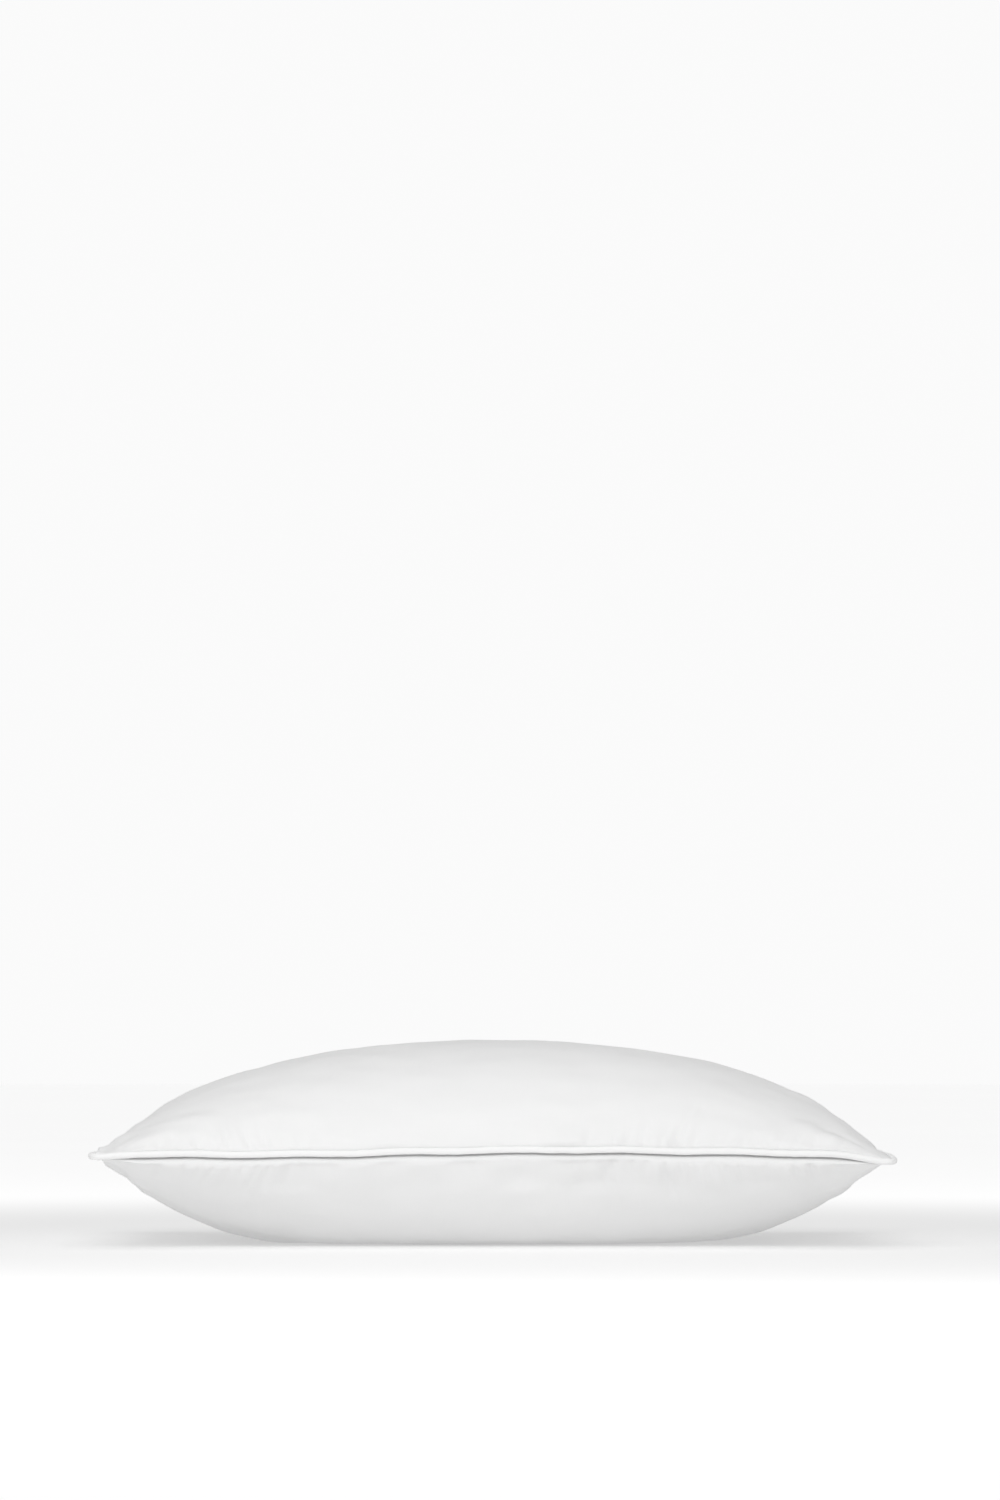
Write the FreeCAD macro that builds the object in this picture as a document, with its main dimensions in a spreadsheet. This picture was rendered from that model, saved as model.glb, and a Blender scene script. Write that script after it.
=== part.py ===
import FreeCAD, Part
import math
import os

import Sketcher

# A piped bed pillow, 50 x 75 cm when its casing lies flat, filled and resting on its lower panel.
# X runs along its long sides, Y from its front long side to its rear one, Z up.
# The origin is the middle of the flat patch that it rests on. Millimetres.

V = FreeCAD.Vector
UP = V(0, 0, 1)

# alias: (value, what it is)
DIMENSIONS = {
    "corner_length": (711.0, "seam outline, corner to corner along X"),
    "corner_width": (467.0, "seam outline, corner to corner along Y"),
    "long_side_pull": (16.0, "how far the filling draws in the middle of a long side"),
    "short_side_pull": (9.5, "how far it draws in the middle of a short side"),
    "corner_rounding": (6.0, "radius of the seam outline at a corner"),
    "seam_height": (85.0, "height of the seam plane above the surface"),
    "top_crown": (102.0, "rise of the upper panel above the seam plane"),
    "bottom_crown": (112.0, "drop of the lower panel below it, had the surface not flattened it"),
    "long_fullness": (2.2, "exponent of the crown along X"),
    "short_fullness": (2.3, "exponent of the crown along Y"),
    "crown_power": (0.52, "makes the crown steep at the seam, as in an ellipse"),
    "seam_softness": (0.053, "keeps that slope finite on the seam itself"),
    "panel_cloth": (0.5, "thickness of a casing panel"),
    "cover_cloth": (0.45, "thickness of the piping's bias strip"),
    "cord_diameter": (5.0, "filler cord inside the piping"),
    "piping_gap": (1.1, "between the seam outline and the piping's tube"),
    "fold_slit": (0.1, "between the two layers of the folded bias strip"),
    "layer_gap": (0.35, "room for thread between two layers of the seam"),
    "edge_lap": (0.6, "folded edge of a panel, outside the seam outline"),
    "allowance": (10.0, "depth of the seam allowance inside the seam outline"),
    "allowance_rounding": (5.0, "radius of the allowance's raw edge at a corner"),
    "filling_inset": (13.0, "between the seam outline and the edge of the filling"),
    "filling_rounding": (30.0, "radius of the filling's outline at a corner"),
    "filling_gap": (0.4, "between the filling and the panels"),
    "thread": (0.3, "thickness of sewing thread"),
    "piping_seam_inset": (3.2, "the piping's own seam, from the seam outline"),
    "assembly_seam_inset": (1.6, "the seam that joins the panels, measured the same way"),
    "closing_seam_inset": (2.4, "the seam that closes the filling slit, measured the same way"),
    "seam_rounding": (4.0, "radius of a seam at a corner"),
    "stitch_pitch": (3.5, "length of a stitch"),
    "stitch_gap": (0.7, "between one stitch and the next"),
    "overlock_pitch": (5.0, "distance between two turns of the overlock"),
    "overlock_bite": (4.5, "how far the overlock reaches over the cloth"),
    "filling_slit": (230.0, "slit on the +X side through which the casing is filled"),
    "label_width": (30.0, "care label, along the seam"),
    "label_drop": (36.0, "care label, hanging length"),
    "label_root": (2.6, "care label, length caught in the seam"),
    "label_cloth": (0.25, "care label, a folded satin tape"),
    "label_offset": (0.7, "care label, outside the seam outline"),
    "label_position": (-230.0, "middle of the care label along the rear side"),
}

CROWN_POINTS = (45, 35)  # points that a crown's surface passes through, along X and Y
CROWN_MARGIN = 6.0  # how far a crown's surface runs past the seam outline
QUADRANTS = ((1, 1), (-1, 1), (-1, -1), (1, -1))

# Distances from the seam plane, or outward from the seam outline, as sums of the sheet's values.
FLANGE = {"fold_slit": 0.5, "cover_cloth": 1}
ALLOWANCE_INSIDE = {**FLANGE, "layer_gap": 1}
ALLOWANCE_OUTSIDE = {**ALLOWANCE_INSIDE, "panel_cloth": 1}
CROWN_INSIDE = {**ALLOWANCE_OUTSIDE, "layer_gap": 2}
CROWN_OUTSIDE = {**CROWN_INSIDE, "panel_cloth": 2}
PIPING_RADIUS = {"cord_diameter": 0.5, "cover_cloth": 1}
PIPING_LINE = {**PIPING_RADIUS, "piping_gap": 1}
ALLOWANCE_EDGE = {"allowance": -1}

# Circles of the outline's sides: their radii, and how far their centres are from the origin.
LONG_RADIUS = (
    "((Dimensions.corner_length / 2)^2 + Dimensions.long_side_pull^2)"
    " / (2 * Dimensions.long_side_pull)"
)
SHORT_RADIUS = (
    "((Dimensions.corner_width / 2)^2 + Dimensions.short_side_pull^2)"
    " / (2 * Dimensions.short_side_pull)"
)
LONG_CENTRE = f"Dimensions.corner_width / 2 - Dimensions.long_side_pull + {LONG_RADIUS}"
SHORT_CENTRE = f"Dimensions.corner_length / 2 - Dimensions.short_side_pull + {SHORT_RADIUS}"


def dimensions_sheet(doc):
    """The spreadsheet of driving dimensions. Returns their values by alias."""
    sheet = doc.addObject("Spreadsheet::Sheet", "Dimensions")
    for row, (alias, (value, meaning)) in enumerate(DIMENSIONS.items(), start=1):
        sheet.set(f"A{row}", alias)
        sheet.set(f"B{row}", str(value))
        sheet.set(f"C{row}", meaning)
        sheet.setAlias(f"B{row}", alias)
    doc.recompute()
    return {alias: float(sheet.get(alias)) for alias in DIMENSIONS}


def formula(terms):
    """A sum of the sheet's values as an expression."""
    return " + ".join(f"{factor} * Dimensions.{alias}" for alias, factor in terms.items())


def value(terms, size):
    """The same sum as a number."""
    return sum(factor * size[alias] for alias, factor in terms.items())


def origin_plane(body, role):
    return next(feature for feature in body.Origin.OriginFeatures if feature.Role == role)


# ---------------------------------------------------------------- the seam outline


def side_circles(size):
    """(radius, distance of the centre from the origin) of a long side, then of a short one."""
    a, b = size["corner_length"] / 2, size["corner_width"] / 2
    circles = []
    for half_chord, reach, pull in (
        (a, b, size["long_side_pull"]),
        (b, a, size["short_side_pull"]),
    ):
        radius = (half_chord**2 + pull**2) / (2 * pull)
        circles.append((radius, reach - pull + radius))
    return circles


def corner_centre(size, outward, rounding):
    """Centre of the arc that rounds the corner at +X +Y, tangent to both sides."""
    (long_radius, long_far), (short_radius, short_far) = side_circles(size)
    to_long, to_short = long_radius - outward + rounding, short_radius - outward + rounding
    span = math.hypot(short_far, long_far)
    along = (to_long**2 - to_short**2 + span**2) / (2 * span)
    aside = math.sqrt(to_long**2 - along**2)
    ux, uy = short_far / span, -long_far / span
    return V(along * ux + aside * uy, long_far + along * uy - aside * ux)


def outline_arcs(size, outward, rounding):
    """(centre, radius, start, end) of eight arcs: side, corner, side, corner, from +X on.

    A side's circle lies outside the outline, so its arc runs the other way round.
    """
    (long_radius, long_far), (short_radius, short_far) = side_circles(size)
    corner = corner_centre(size, outward, rounding)
    lean_long = math.atan2(corner.x, long_far - corner.y)
    lean_short = math.atan2(corner.y, short_far - corner.x)
    arcs = []
    for quarter, (x_sign, y_sign) in enumerate(QUADRANTS):
        facing = quarter * math.pi / 2
        is_short = quarter % 2 == 0
        radius, far = (short_radius, short_far) if is_short else (long_radius, long_far)
        lean, next_lean = (lean_short, lean_long) if is_short else (lean_long, lean_short)
        centre = V(far * math.cos(facing), far * math.sin(facing))
        inward = facing + math.pi
        arcs.append((centre, radius - outward, inward - lean, inward + lean))
        corner_end = facing + math.pi / 2 + next_lean
        corner_at = V(corner.x * x_sign, corner.y * y_sign)
        arcs.append((corner_at, rounding, facing - lean, corner_end))
    return arcs


def bind(sketch, constraint, name, expression):
    """Adds a dimension to a sketch and binds it to the sheet."""
    index = sketch.addConstraint(constraint)
    sketch.renameConstraint(index, name)
    sketch.setExpression(f"Constraints.{name}", expression)


def draw_outline(sketch, size, outward, rounding):
    """Draws the seam outline, moved outward, with four concave sides and four round corners."""
    arcs = outline_arcs(size, value(outward, size), value(rounding, size))
    for centre, radius, start, end in arcs:
        sketch.addGeometry(Part.ArcOfCircle(Part.Circle(centre, UP, radius), start, end), False)
    first = sketch.GeometryCount - len(arcs)
    start_point, end_point, centre_point = 1, 2, 3
    x_axis, y_axis, origin = -1, -2, (-1, 1)
    for quarter in range(4):
        side, corner = first + 2 * quarter, first + 2 * quarter + 1
        next_side = first + (2 * quarter + 2) % 8
        is_short = quarter % 2 == 0
        sketch.addConstraint(Sketcher.Constraint("Tangent", side, start_point, corner, start_point))
        sketch.addConstraint(Sketcher.Constraint("Tangent", corner, end_point, next_side, end_point))
        axis = x_axis if is_short else y_axis
        sketch.addConstraint(Sketcher.Constraint("PointOnObject", side, centre_point, axis))
        centre, radius = arcs[2 * quarter][:2]
        reach = max(abs(centre.x), abs(centre.y))
        kind = "DistanceX" if is_short else "DistanceY"
        ends = (*origin, side, centre_point) if quarter < 2 else (side, centre_point, *origin)
        far_from = SHORT_CENTRE if is_short else LONG_CENTRE
        bind(sketch, Sketcher.Constraint(kind, *ends, reach), f"centre_{side}", far_from)
        side_radius = f"{SHORT_RADIUS if is_short else LONG_RADIUS} - ({formula(outward)})"
        bind(sketch, Sketcher.Constraint("Radius", side, radius), f"radius_{side}", side_radius)
        rounded = Sketcher.Constraint("Radius", corner, arcs[2 * quarter + 1][1])
        bind(sketch, rounded, f"radius_{corner}", formula(rounding))


def rounding_at(outward):
    """Corner radius of the outline once it is moved outward."""
    return {"corner_rounding": 1, **outward}


# ---------------------------------------------------------------- bodies


def new_body(doc, name, height=None):
    """An empty body, raised by a sum of the sheet's values."""
    body = doc.addObject("PartDesign::Body", name)
    body.Label = name
    if height:
        body.setExpression("Placement.Base.z", formula(height))
    return body


def new_sketch(body, name, role):
    sketch = body.newObject("Sketcher::SketchObject", name)
    sketch.AttachmentSupport = [(origin_plane(body, role), "")]
    sketch.MapMode = "FlatFace"
    return sketch


def slab(doc, size, name, outline, low, high):
    """A flat body within an outline, from one height to another."""
    body = new_body(doc, name, low)
    sketch = new_sketch(body, f"{name}_outline", "XY_Plane")
    draw_outline(sketch, size, *outline)
    pad = body.newObject("PartDesign::Pad", f"{name}_pad")
    pad.Profile = sketch
    pad.setExpression("Length", f"({formula(high)}) - ({formula(low)})")
    sketch.Visibility = False
    return body


def boolean(doc, kind, name, base, tool):
    result = doc.addObject(f"Part::{kind}", name)
    result.Label = name
    result.Base = base
    result.Tool = tool
    return result


# ---------------------------------------------------------------- crowns


def rounded_rise(inside, size):
    """0 on the seam, 1 in the middle, steep at first. Past the seam it goes on straight."""
    power, soft = size["crown_power"], size["seam_softness"]
    whole = (1 + soft) ** power - soft**power
    if inside < 0:
        return power * soft ** (power - 1) * inside / whole
    return ((inside + soft) ** power - soft**power) / whole


def crown_factor(x, y, size):
    """Height of the crown as a share of its greatest, 1 in the middle and 0 on the seam."""
    a, b = size["corner_length"] / 2, size["corner_width"] / 2
    side_x = a - size["short_side_pull"] * (1 - (y / b) ** 2)
    side_y = b - size["long_side_pull"] * (1 - (x / a) ** 2)
    along = 1 - abs(x / side_x) ** size["long_fullness"]
    across = 1 - abs(y / side_y) ** size["short_fullness"]
    return rounded_rise(along, size) * rounded_rise(across, size)


def crown_grid(reach, count):
    """Distances from one edge of a crown's surface to the other, close together at its edges."""
    steps = [2 * i / (count - 1) - 1 for i in range(count)]
    return [reach * math.sin(step * math.pi / 2) for step in steps]


def crown_solid(doc, size, name, side, foot, rise):
    """Everything between the seam and a crowned surface, above it (side 1) or below it (side -1).

    foot is the crown's distance from the seam plane at the seam, rise its height from there.
    """
    along = crown_grid(size["corner_length"] / 2 + CROWN_MARGIN, CROWN_POINTS[0])
    across = crown_grid(size["corner_width"] / 2 + CROWN_MARGIN, CROWN_POINTS[1])
    seam = size["seam_height"]
    rows = [
        [V(x, y, seam + side * (foot + rise * crown_factor(x, y, size))) for y in across]
        for x in along
    ]
    surface = Part.BSplineSurface()
    surface.interpolate(rows)
    past_the_other = size["top_crown"] + size["bottom_crown"]
    solid = surface.toShape().extrude(UP * (-side * past_the_other))
    feature = doc.addObject("Part::Feature", name)
    feature.Shape = solid
    return feature


# ---------------------------------------------------------------- sub-parts


def panel(doc, size, name, side, crown, opening):
    """A casing panel: crown, folded edge, and the allowance that lies inside the seam.

    The lower panel is flat where it rests, because its slabs start at the surface it lies on.
    """
    seam = {"seam_height": 1}
    above = {**seam, crown: 2}

    def beyond(distance):
        return {**seam, **{alias: side * factor for alias, factor in distance.items()}}

    folded_edge = ({"edge_lap": 1}, rounding_at({"edge_lap": 1}))
    seam_line = ({"edge_lap": 0}, rounding_at({}))
    if side > 0:
        outer = slab(doc, size, f"{name}_block", folded_edge, beyond(ALLOWANCE_INSIDE), above)
        inner = slab(doc, size, f"{name}_core", seam_line, beyond(ALLOWANCE_OUTSIDE), above)
    else:
        surface, cloth = {"panel_cloth": 0}, {"panel_cloth": 1}
        outer = slab(doc, size, f"{name}_block", folded_edge, surface, beyond(ALLOWANCE_INSIDE))
        inner = slab(doc, size, f"{name}_core", seam_line, cloth, beyond(ALLOWANCE_OUTSIDE))
    foot, foot_inside = value(CROWN_OUTSIDE, size), value(CROWN_INSIDE, size)
    rise = size[crown] - foot
    crown_outside = crown_solid(doc, size, f"{name}_crown", side, foot, rise)
    crown_inside = crown_solid(doc, size, f"{name}_hollow_crown", side, foot_inside, rise)
    shell = boolean(doc, "Common", f"{name}_filled", outer, crown_outside)
    hollow = boolean(doc, "Common", f"{name}_hollow", inner, crown_inside)
    emptied = boolean(doc, "Cut", f"{name}_emptied", shell, hollow)
    return boolean(doc, "Cut", name, emptied, opening)


def filling(doc, size):
    """Down and feather, which fills the casing up to the crowns."""
    outline = ({"filling_inset": -1}, {"filling_rounding": 1})
    low = {"panel_cloth": 1, "filling_gap": 1}
    high = {"seam_height": 1, "top_crown": 2}
    block = slab(doc, size, "filling_block", outline, low, high)
    foot = value(CROWN_INSIDE, size) - size["filling_gap"]
    shell = value(CROWN_OUTSIDE, size)
    lid = crown_solid(doc, size, "filling_top", 1, foot, size["top_crown"] - shell)
    bed = crown_solid(doc, size, "filling_bottom", -1, foot, size["bottom_crown"] - shell)
    topped = boolean(doc, "Common", "filling_topped", block, lid)
    return boolean(doc, "Common", "down_filling", topped, bed)


def pipe_along(body, size, name, kind, diameter):
    """A round pipe, added or subtracted, along the piping's line."""
    path = new_sketch(body, f"{name}_path", "XY_Plane")
    draw_outline(path, size, PIPING_LINE, rounding_at(PIPING_LINE))
    section = new_sketch(body, f"{name}_section", "XZ_Plane")
    radius = value(diameter, size) / 2
    reach = size["corner_length"] / 2 - size["short_side_pull"] + value(PIPING_LINE, size)
    section.addGeometry(Part.Circle(V(reach, 0), UP, radius), False)
    x_axis, origin, centre = -1, (-1, 1), (0, 3)
    section.addConstraint(Sketcher.Constraint("PointOnObject", *centre, x_axis))
    out_to = f"Dimensions.corner_length / 2 - Dimensions.short_side_pull + {formula(PIPING_LINE)}"
    bind(section, Sketcher.Constraint("DistanceX", *origin, *centre, reach), "reach", out_to)
    half = f"({formula(diameter)}) / 2"
    bind(section, Sketcher.Constraint("Radius", 0, radius), "section_radius", half)
    pipe = body.newObject(f"PartDesign::{kind}", name)
    pipe.Profile = section
    pipe.Spine = (path, [""])
    path.Visibility = False
    section.Visibility = False
    return pipe


def piping_cord(doc, size):
    """Cotton filler cord, a closed loop inside the piping."""
    body = new_body(doc, "piping_cord", {"seam_height": 1})
    pipe_along(body, size, "cord", "AdditivePipe", {"cord_diameter": 1})
    return body


def piping_cover(doc, size):
    """Bias strip folded round the cord: a tube, and two layers that reach into the seam."""
    body = new_body(doc, "piping_cover", {"seam_height": 1})
    raw_edge = (ALLOWANCE_EDGE, {"allowance_rounding": 1})
    tube_line = (PIPING_LINE, rounding_at(PIPING_LINE))

    def ring_sketch(name):
        sketch = new_sketch(body, name, "XY_Plane")
        draw_outline(sketch, size, *tube_line)
        draw_outline(sketch, size, *raw_edge)
        sketch.Visibility = False
        return sketch

    flange = body.newObject("PartDesign::Pad", "flange")
    flange.Profile = ring_sketch("flange_outline")
    flange.Midplane = True
    flange.setExpression("Length", f"2 * ({formula(FLANGE)})")
    pipe_along(body, size, "tube", "AdditivePipe", {"cord_diameter": 1, "cover_cloth": 2})
    pipe_along(body, size, "bore", "SubtractivePipe", {"cord_diameter": 1, "fold_slit": 1})
    slit = body.newObject("PartDesign::Pocket", "slit")
    slit.Profile = ring_sketch("slit_outline")
    slit.Midplane = True
    slit.setExpression("Length", "Dimensions.fold_slit")
    body.Tip = slit
    return body


def care_label(doc, size):
    """A blank folded tape, caught under the piping on the rear side, which hangs down."""
    body = new_body(doc, "care_label", {"seam_height": 1})
    body.setExpression("Placement.Base.x", "Dimensions.label_position")
    side_y = f"{LONG_CENTRE} - sqrt(({LONG_RADIUS})^2 - Dimensions.label_position^2)"
    body.setExpression("Placement.Base.y", side_y)
    turn = f"asin(Dimensions.label_position / ({LONG_RADIUS}))"
    body.setExpression("Placement.Rotation.Angle", turn)
    sketch = new_sketch(body, "tape_section", "YZ_Plane")
    cloth, inside, drop = size["label_cloth"], size["label_offset"], size["label_drop"]
    top, root = -value(FLANGE, size) - size["fold_slit"] / 2, size["label_root"]
    outside = inside + cloth
    corners = [
        V(-root, top),
        V(outside, top),
        V(outside, -drop),
        V(inside, -drop),
        V(inside, top - cloth),
        V(-root, top - cloth),
    ]
    count = len(corners)
    for i, corner in enumerate(corners):
        sketch.addGeometry(Part.LineSegment(corner, corners[(i + 1) % count]), False)
    start_point, end_point, origin = 1, 2, (-1, 1)
    for i in range(count):
        meeting = (i, end_point, (i + 1) % count, start_point)
        sketch.addConstraint(Sketcher.Constraint("Coincident", *meeting))
        sketch.addConstraint(Sketcher.Constraint("Vertical" if i % 2 else "Horizontal", i))
    caught = f"({formula(FLANGE)}) + Dimensions.fold_slit / 2"
    dimensions = (
        ("DistanceX", (0, start_point, *origin), root, "root", "Dimensions.label_root"),
        ("DistanceY", (0, start_point, *origin), -top, "caught", caught),
        ("DistanceX", (*origin, 2, end_point), inside, "offset", "Dimensions.label_offset"),
        ("DistanceY", (2, end_point, *origin), drop, "drop", "Dimensions.label_drop"),
        ("DistanceX", (2, end_point, 2, start_point), cloth, "cloth", "Dimensions.label_cloth"),
        ("DistanceY", (5, start_point, 5, end_point), cloth, "fold", "Dimensions.label_cloth"),
    )
    for kind, ends, length, name, expression in dimensions:
        bind(sketch, Sketcher.Constraint(kind, *ends, length), name, expression)
    tape = body.newObject("PartDesign::Pad", "tape")
    tape.Profile = sketch
    tape.Midplane = True
    tape.setExpression("Length", "Dimensions.label_width")
    sketch.Visibility = False
    return body


# ---------------------------------------------------------------- threads


def seam_stations(size, outward, rounding, pitch):
    """Points a pitch apart, all the way round the outline, moved outward."""
    arcs = outline_arcs(size, value(outward, size), value(rounding, size))
    edges = [
        Part.ArcOfCircle(Part.Circle(centre, UP, radius), start, end).toShape()
        for centre, radius, start, end in arcs
    ]
    wire = Part.Wire(Part.__sortEdges__(edges))
    count = round(wire.Length / size[pitch])
    return wire.discretize(Number=count + 1)


def in_filling_slit(point, size):
    return point.x > 0 and abs(point.y) < size["filling_slit"] / 2


def stitch(start, end, thread, gap):
    """A flat bar of thread from one needle hole to the next, on top of its ends' height."""
    along = (end - start).normalize()
    aside = UP.cross(along) * (thread / 2)
    start, end = start + along * (gap / 2), end - along * (gap / 2)
    outline = [start - aside, end - aside, end + aside, start + aside, start - aside]
    return Part.Face(Part.makePolygon(outline)).extrude(UP * thread)


def thread_feature(doc, name, solids):
    feature = doc.addObject("Part::Feature", name)
    feature.Label = name
    feature.Shape = Part.makeCompound(solids)
    return feature


def flat_seam(doc, size, name, inset, height, side, slit_open=False):
    """Stitches on one side of the seam's layers, height away from the seam plane."""
    outward = {inset: -1}
    stations = seam_stations(size, outward, {"seam_rounding": 1}, "stitch_pitch")
    thread = size["thread"]
    away = value(height, size)
    low = size["seam_height"] + (away if side > 0 else -away - thread)
    stitches = []
    for start, end in zip(stations, stations[1:]):
        if slit_open and in_filling_slit(start, size):
            continue
        lift = UP * low
        stitches.append(stitch(start + lift, end + lift, thread, size["stitch_gap"]))
    return thread_feature(doc, name, stitches)


def closing_seam(doc, size, name, crown, side):
    """Stitches on the outside of a crown, through both panels, along the filling slit."""
    outward = {"closing_seam_inset": -1}
    stations = seam_stations(size, outward, {"seam_rounding": 1}, "stitch_pitch")
    thread = size["thread"]
    foot = value(CROWN_OUTSIDE, size)
    stitches = []
    for start, end in zip(stations, stations[1:]):
        if not in_filling_slit(start, size):
            continue
        middle = (start + end) / 2
        away = foot + (size[crown] - foot) * crown_factor(middle.x, middle.y, size) + thread / 2
        low = size["seam_height"] + (away if side > 0 else -away - thread)
        lift = UP * low
        stitches.append(stitch(start + lift, end + lift, thread, size["stitch_gap"]))
    return thread_feature(doc, name, stitches)


def overlock(doc, size):
    """Turns of thread round the raw edges of all the layers, which keep them from fraying."""
    stations = seam_stations(size, ALLOWANCE_EDGE, {"allowance_rounding": 1}, "overlock_pitch")
    thread, bite, half = size["thread"], size["overlock_bite"], value(ALLOWANCE_OUTSIDE, size)
    middle = V(0, 0, size["seam_height"])
    # A turn's outline: (outward from the raw edge, above the seam plane).
    outline = (
        (bite, half + thread),
        (-thread, half + thread),
        (-thread, -half - thread),
        (bite, -half - thread),
        (bite, -half),
        (0, -half),
        (0, half),
        (bite, half),
    )
    turns = []
    for before, after in zip(stations, stations[1:]):
        along = (after - before).normalize()
        outward = along.cross(UP)
        at = (before + after) / 2 + middle
        if outward.dot(at) < 0:
            outward = outward * -1
        corners = [at + outward * out + UP * up - along * (thread / 2) for out, up in outline]
        face = Part.Face(Part.makePolygon(corners + corners[:1]))
        turns.append(face.extrude(along * thread))
    return thread_feature(doc, "overlock_thread", turns)


# ---------------------------------------------------------------- the pillow


def build(doc, size):
    """All sub-parts, in the order in which they are sewn together."""
    hollow_half = {**ALLOWANCE_OUTSIDE, "layer_gap": 1.5}
    seam_hollow = slab(
        doc,
        size,
        "inside_of_allowance",
        (ALLOWANCE_EDGE, {"allowance_rounding": 1}),
        {"seam_height": 1, **{alias: -factor for alias, factor in hollow_half.items()}},
        {"seam_height": 1, **hollow_half},
    )
    piping_seam = ("piping_seam_inset", FLANGE)
    assembly_seam = ("assembly_seam_inset", ALLOWANCE_OUTSIDE)
    return [
        piping_cord(doc, size),
        piping_cover(doc, size),
        flat_seam(doc, size, "piping_seam_needle_thread", *piping_seam, 1),
        flat_seam(doc, size, "piping_seam_bobbin_thread", *piping_seam, -1),
        panel(doc, size, "top_panel", 1, "top_crown", seam_hollow),
        panel(doc, size, "bottom_panel", -1, "bottom_crown", seam_hollow),
        care_label(doc, size),
        flat_seam(doc, size, "assembly_seam_needle_thread", *assembly_seam, 1, slit_open=True),
        flat_seam(doc, size, "assembly_seam_bobbin_thread", *assembly_seam, -1, slit_open=True),
        overlock(doc, size),
        filling(doc, size),
        closing_seam(doc, size, "closing_seam_needle_thread", "top_crown", 1),
        closing_seam(doc, size, "closing_seam_bobbin_thread", "bottom_crown", -1),
    ]


def check(doc, parts):
    """Stops before anything is written if an object has failed or a sub-part isn't sound."""
    for item in doc.Objects:
        if {"Invalid", "Error"} & set(item.State):
            raise RuntimeError(f"{item.Name} failed: {item.State}")
    for item in parts:
        if item.Shape.isNull() or not item.Shape.isValid() or not item.Shape.Solids:
            raise RuntimeError(f"{item.Label} has no sound solid")


def main():
    doc = FreeCAD.newDocument("bed_pillow")
    size = dimensions_sheet(doc)
    parts = build(doc, size)
    doc.recompute()
    check(doc, parts)
    os.makedirs("parts", exist_ok=True)
    for item in parts:
        item.Shape.exportStep(f"parts/{item.Label}.step")
        print(f"{item.Label}: {len(item.Shape.Solids)} solids, {item.Shape.Volume:.0f} mm3")


main()
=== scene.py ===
"""A piped bed pillow, looked at from its front long side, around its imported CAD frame. Metres."""

import math

import bmesh
import bpy
import numpy as np
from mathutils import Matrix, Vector


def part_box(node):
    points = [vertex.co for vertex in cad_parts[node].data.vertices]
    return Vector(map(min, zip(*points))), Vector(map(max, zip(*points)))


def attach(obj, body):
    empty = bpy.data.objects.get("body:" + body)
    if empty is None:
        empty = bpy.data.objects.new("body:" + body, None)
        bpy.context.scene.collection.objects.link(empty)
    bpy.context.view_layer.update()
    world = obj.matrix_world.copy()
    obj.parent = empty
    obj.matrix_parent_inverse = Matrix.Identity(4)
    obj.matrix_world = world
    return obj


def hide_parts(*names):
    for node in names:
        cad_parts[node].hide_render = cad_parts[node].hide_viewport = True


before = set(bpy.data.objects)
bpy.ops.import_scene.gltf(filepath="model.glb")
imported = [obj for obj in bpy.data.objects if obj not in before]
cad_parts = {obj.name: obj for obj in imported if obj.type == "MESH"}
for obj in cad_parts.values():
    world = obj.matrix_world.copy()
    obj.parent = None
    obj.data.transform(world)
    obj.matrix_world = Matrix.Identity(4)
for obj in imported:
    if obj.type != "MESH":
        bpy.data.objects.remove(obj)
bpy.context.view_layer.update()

MM = 0.001
BODY = "root"

# ---- sizes, from the frame

SEAM_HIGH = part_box("top_panel")[1]
PIPING_LOW, PIPING_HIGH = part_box("piping_cover")
CORD_LOW, CORD_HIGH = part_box("piping_cord")
LABEL_LOW, LABEL_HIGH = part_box("care_label")
HALF_LENGTH, HALF_WIDTH = SEAM_HIGH.x, SEAM_HIGH.y  # the seam, to its corners
SEAM_AROUND = 4 * (HALF_LENGTH + HALF_WIDTH)
SEAM_Z = (PIPING_LOW.z + PIPING_HIGH.z) / 2
PIPING_RADIUS = (PIPING_HIGH.z - PIPING_LOW.z) / 2
CORD_RADIUS = (CORD_HIGH.z - CORD_LOW.z) / 2
TOP_RISE = SEAM_HIGH.z - SEAM_Z

# The casing as it was cut and sewn, flat.
FLAT_LENGTH, FLAT_WIDTH = 0.75, 0.50
CLOTH = 0.4 * MM
PIPING_CLOTH = 0.45 * MM
PIPING_OUT = 3.3 * MM  # the cord's line, outward from the seam's line
THREAD = 0.15 * MM  # a thread's radius

# Layers of the seam: distances from the seam plane, and outward from the seam's line.
FLANGE = 0.5 * MM  # outside of the folded bias strip
RAW_EDGE = -10.6 * MM
# Round a panel's fold, from its crown's foot to its allowance: (outward, away from the seam plane).
# At a corner the panels lie flat together. Along the sides the filling puffs them out towards the
# piping, the lower one most, because it carries the weight.
FOLD_AT_CORNER = MM * np.array([
    (0.10, 2.30), (0.22, 1.95), (0.30, 1.55), (0.26, 1.22),
    (0.05, 0.98), (-0.30, 0.88), (-1.20, 0.85), (-2.40, 0.85),
])
TOP_FOLD_ON_SIDE = MM * np.array([
    (0.90, 3.60), (0.85, 3.00), (0.60, 2.40), (0.30, 1.80),
    (0.00, 1.30), (-0.45, 0.95), (-1.20, 0.85), (-2.40, 0.85),
])
BOTTOM_FOLD_ON_SIDE = MM * np.array([
    (4.60, 8.90), (4.30, 7.30), (3.50, 6.00), (2.20, 5.00),
    (0.60, 4.20), (-1.00, 3.30), (-2.20, 2.10), (-2.60, 0.85),
])
ALLOWANCE_INSIDE = FOLD_AT_CORNER[-1, 1]  # a panel's allowance, the side that faces the strip
ASSEMBLY_SEAM, PIPING_SEAM = -3.4 * MM, -4.6 * MM  # just inside the folds
EAR = 20 * MM  # how far from a corner the crowns begin
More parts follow.
